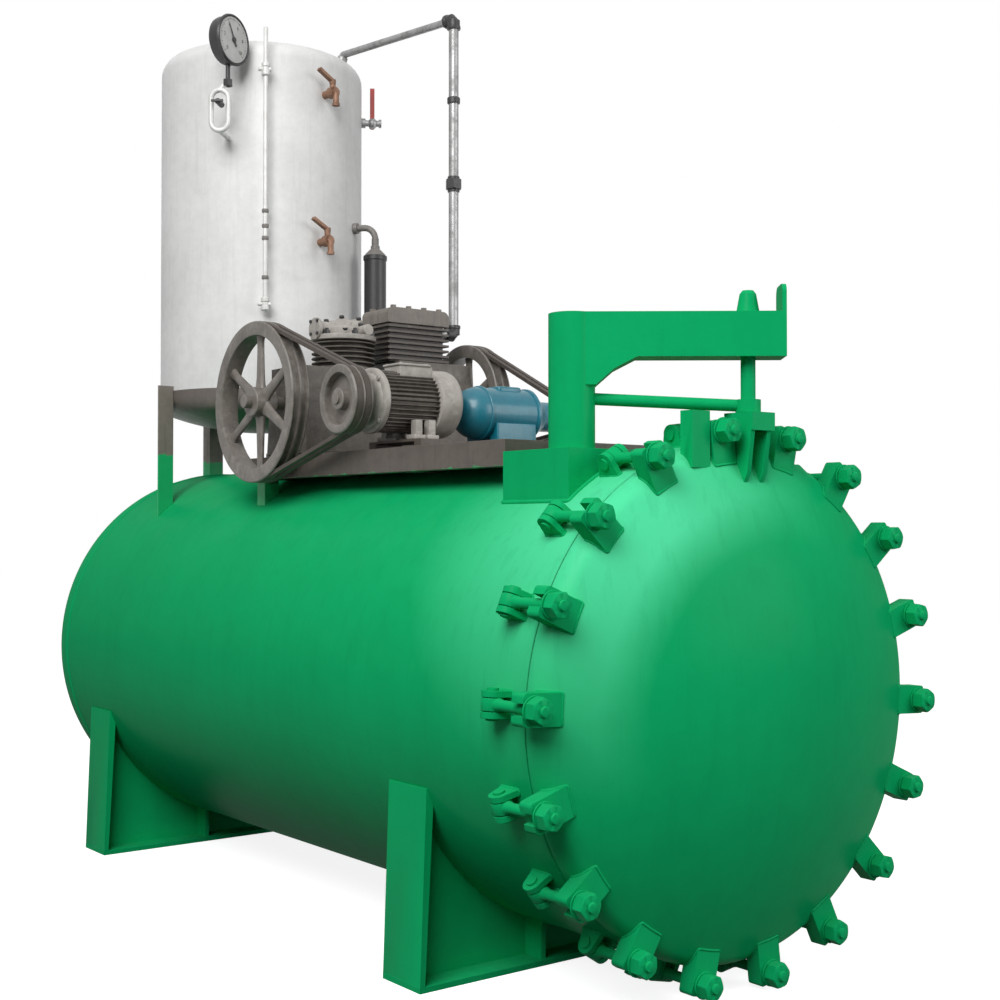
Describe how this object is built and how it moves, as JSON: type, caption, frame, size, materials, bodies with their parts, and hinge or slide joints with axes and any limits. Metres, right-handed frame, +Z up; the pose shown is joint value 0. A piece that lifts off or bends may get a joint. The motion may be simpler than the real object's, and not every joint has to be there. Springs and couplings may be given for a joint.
{
  "type": "wood treatment pressure vessel",
  "caption": "Horizontal green pressure cylinder with a bolted dished door on a swing davit; two belt-driven compressors and an upright air tank stand on top.",
  "frame": {"origin": "on the floor, under the middle of the front saddle, in the plane of symmetry of the cylinder", "axes": "+Z up, +Y along the cylinder from the door to the rear head, +X to the right when facing the door from outside"},
  "size_m": [1.3202, 3.0239, 2.7536],
  "materials": {
    "green_paint": "gloss",
    "seal": "matt",
    "pin_steel": "satin",
    "brown_paint": "satin",
    "cast_iron": "satin",
    "motor_grey": "satin",
    "motor_blue": "satin",
    "belt": "matt",
    "tank_white": "satin",
    "tank_grey": "satin",
    "dark_paint": "satin",
    "pipe_steel": "satin",
    "brass": "satin",
    "red_plastic": "gloss"
  },
  "bodies": {
    "vessel": {"vessel_shell": "green_paint", "rear_head": "green_paint", "door_gasket": "seal", "front_saddle": "green_paint", "rear_saddle": "green_paint", "hinge_lugs": "green_paint", "hinge_pins": "pin_steel", "davit_pedestal": "green_paint", "machine_frame": "brown_paint", "compressor_1_crankcase": "cast_iron", "compressor_1_cylinder": "cast_iron", "motor_1": "motor_grey", "motor_1_base": "brown_paint", "belts_1": "belt", "compressor_2_crankcase": "cast_iron", "compressor_2_cylinder": "cast_iron", "motor_2": "motor_blue", "belts_2": "belt", "tank_shell": "tank_white", "tank_top_head": "tank_white", "tank_bottom_head": "tank_grey", "tank_legs": "tank_grey", "sight_tube": "pipe_steel", "pressure_gauge": "dark_paint", "tank_cocks": "brass", "lever_valve": "pipe_steel", "air_separator": "dark_paint", "delivery_pipe": "pipe_steel", "davit_column": "green_paint", "davit_arm": "green_paint", "davit_stay": "green_paint", "door_dish": "green_paint", "door_forks": "green_paint", "door_hanger": "green_paint", "hanging_rod": "green_paint"},
    "swing_bolt_01": {"swing_bolt_01": "green_paint"},
    "swing_bolt_02": {"swing_bolt_02": "green_paint"},
    "swing_bolt_03": {"swing_bolt_03": "green_paint"},
    "swing_bolt_04": {"swing_bolt_04": "green_paint"},
    "swing_bolt_05": {"swing_bolt_05": "green_paint"},
    "swing_bolt_06": {"swing_bolt_06": "green_paint"},
    "swing_bolt_07": {"swing_bolt_07": "green_paint"},
    "swing_bolt_08": {"swing_bolt_08": "green_paint"},
    "swing_bolt_09": {"swing_bolt_09": "green_paint"},
    "swing_bolt_10": {"swing_bolt_10": "green_paint"},
    "swing_bolt_11": {"swing_bolt_11": "green_paint"},
    "swing_bolt_12": {"swing_bolt_12": "green_paint"},
    "swing_bolt_13": {"swing_bolt_13": "green_paint"},
    "swing_bolt_14": {"swing_bolt_14": "green_paint"},
    "swing_bolt_15": {"swing_bolt_15": "green_paint"},
    "swing_bolt_16": {"swing_bolt_16": "green_paint"},
    "swing_bolt_17": {"swing_bolt_17": "green_paint"},
    "swing_bolt_18": {"swing_bolt_18": "green_paint"},
    "flywheel_1": {"flywheel_1": "cast_iron"},
    "motor_pulley_1": {"motor_pulley_1": "cast_iron"},
    "flywheel_2": {"flywheel_2": "cast_iron"},
    "motor_pulley_2": {"motor_pulley_2": "cast_iron"},
    "cock_lever_1": {"cock_lever_1": "brass"},
    "cock_lever_2": {"cock_lever_2": "brass"},
    "valve_lever": {"valve_lever": "red_plastic"}
  },
  "joints": [
    {"name": "bolt_01_fold", "type": "hinge", "parent": "vessel", "child": "swing_bolt_01", "pos_m": [0.14172, -0.405, 1.27885], "axis": [-0.9744, 0, 0.225], "range_deg": [0, 105]},
    {"name": "bolt_02_fold", "type": "hinge", "parent": "vessel", "child": "swing_bolt_02", "pos_m": [0.34312, -0.405, 1.19336], "axis": [-0.8387, 0, 0.5446], "range_deg": [0, 105]},
    {"name": "bolt_03_fold", "type": "hinge", "parent": "vessel", "child": "swing_bolt_03", "pos_m": [0.50314, -0.405, 1.04414], "axis": [-0.6018, 0, 0.7986], "range_deg": [0, 105]},
    {"name": "bolt_04_fold", "type": "hinge", "parent": "vessel", "child": "swing_bolt_04", "pos_m": [0.60247, -0.405, 0.84919], "axis": [-0.2924, 0, 0.9563], "range_deg": [0, 105]},
    {"name": "bolt_05_fold", "type": "hinge", "parent": "vessel", "child": "swing_bolt_05", "pos_m": [0.62914, -0.405, 0.63203], "axis": [0.0523, 0, 0.9986], "range_deg": [0, 105]},
    {"name": "bolt_06_fold", "type": "hinge", "parent": "vessel", "child": "swing_bolt_06", "pos_m": [0.57992, -0.405, 0.41884], "axis": [0.3907, 0, 0.9205], "range_deg": [0, 105]},
    {"name": "bolt_07_fold", "type": "hinge", "parent": "vessel", "child": "swing_bolt_07", "pos_m": [0.46075, -0.405, 0.23534], "axis": [0.682, 0, 0.7314], "range_deg": [0, 105]},
    {"name": "bolt_08_fold", "type": "hinge", "parent": "vessel", "child": "swing_bolt_08", "pos_m": [0.28601, -0.405, 0.10367], "axis": [0.891, 0, 0.454], "range_deg": [0, 105]},
    {"name": "bolt_09_fold", "type": "hinge", "parent": "vessel", "child": "swing_bolt_09", "pos_m": [0.07678, -0.405, 0.0397], "axis": [0.9925, 0, 0.1219], "range_deg": [0, 105]},
    {"name": "bolt_10_fold", "type": "hinge", "parent": "vessel", "child": "swing_bolt_10", "pos_m": [-0.14172, -0.405, 0.05115], "axis": [0.9744, 0, -0.225], "range_deg": [0, 105]},
    {"name": "bolt_11_fold", "type": "hinge", "parent": "vessel", "child": "swing_bolt_11", "pos_m": [-0.34312, -0.405, 0.13664], "axis": [0.8387, 0, -0.5446], "range_deg": [0, 105]},
    {"name": "bolt_12_fold", "type": "hinge", "parent": "vessel", "child": "swing_bolt_12", "pos_m": [-0.50314, -0.405, 0.28586], "axis": [0.6018, 0, -0.7986], "range_deg": [0, 105]},
    {"name": "bolt_13_fold", "type": "hinge", "parent": "vessel", "child": "swing_bolt_13", "pos_m": [-0.60247, -0.405, 0.48081], "axis": [0.2924, 0, -0.9563], "range_deg": [0, 105]},
    {"name": "bolt_14_fold", "type": "hinge", "parent": "vessel", "child": "swing_bolt_14", "pos_m": [-0.62914, -0.405, 0.69797], "axis": [-0.0523, 0, -0.9986], "range_deg": [0, 105]},
    {"name": "bolt_15_fold", "type": "hinge", "parent": "vessel", "child": "swing_bolt_15", "pos_m": [-0.57992, -0.405, 0.91116], "axis": [-0.3907, 0, -0.9205], "range_deg": [0, 105]},
    {"name": "bolt_16_fold", "type": "hinge", "parent": "vessel", "child": "swing_bolt_16", "pos_m": [-0.46075, -0.405, 1.09466], "axis": [-0.682, 0, -0.7314], "range_deg": [0, 105]},
    {"name": "bolt_17_fold", "type": "hinge", "parent": "vessel", "child": "swing_bolt_17", "pos_m": [-0.28601, -0.405, 1.22633], "axis": [-0.891, 0, -0.454], "range_deg": [0, 92]},
    {"name": "bolt_18_fold", "type": "hinge", "parent": "vessel", "child": "swing_bolt_18", "pos_m": [-0.07678, -0.405, 1.2903], "axis": [-0.9925, 0, -0.1219], "range_deg": [0, 17]},
    {"name": "flywheel_1_spin", "type": "hinge", "parent": "vessel", "child": "flywheel_1", "pos_m": [-0.42, 1, 1.441], "axis": [1, 0, 0], "continuous": true},
    {"name": "motor_pulley_1_spin", "type": "hinge", "parent": "vessel", "child": "motor_pulley_1", "pos_m": [-0.42, 0.52, 1.417], "axis": [1, 0, 0], "continuous": true},
    {"name": "flywheel_2_spin", "type": "hinge", "parent": "vessel", "child": "flywheel_2", "pos_m": [0.345, 1, 1.478], "axis": [1, 0, 0], "continuous": true},
    {"name": "motor_pulley_2_spin", "type": "hinge", "parent": "vessel", "child": "motor_pulley_2", "pos_m": [0.345, 0.52, 1.4], "axis": [1, 0, 0], "continuous": true},
    {"name": "cock_lever_1_turn", "type": "hinge", "parent": "vessel", "child": "cock_lever_1", "pos_m": [0.05456, 1.38182, 2.574], "axis": [0, 0, 1], "range_deg": [0, 90]},
    {"name": "cock_lever_2_turn", "type": "hinge", "parent": "vessel", "child": "cock_lever_2", "pos_m": [0.03417, 1.37949, 2.07], "axis": [0, 0, 1], "range_deg": [0, 90]},
    {"name": "valve_lever_turn", "type": "hinge", "parent": "vessel", "child": "valve_lever", "pos_m": [0.35525, 1.60531, 2.522], "axis": [0.5, 0.866, 0], "range_deg": [0, 90]}
  ],
  "couplings": [
    {"joint": "motor_pulley_1_spin", "follows": "flywheel_1_spin", "ratio": 2.5319},
    {"joint": "motor_pulley_2_spin", "follows": "flywheel_2_spin", "ratio": 3.76}
  ]
}
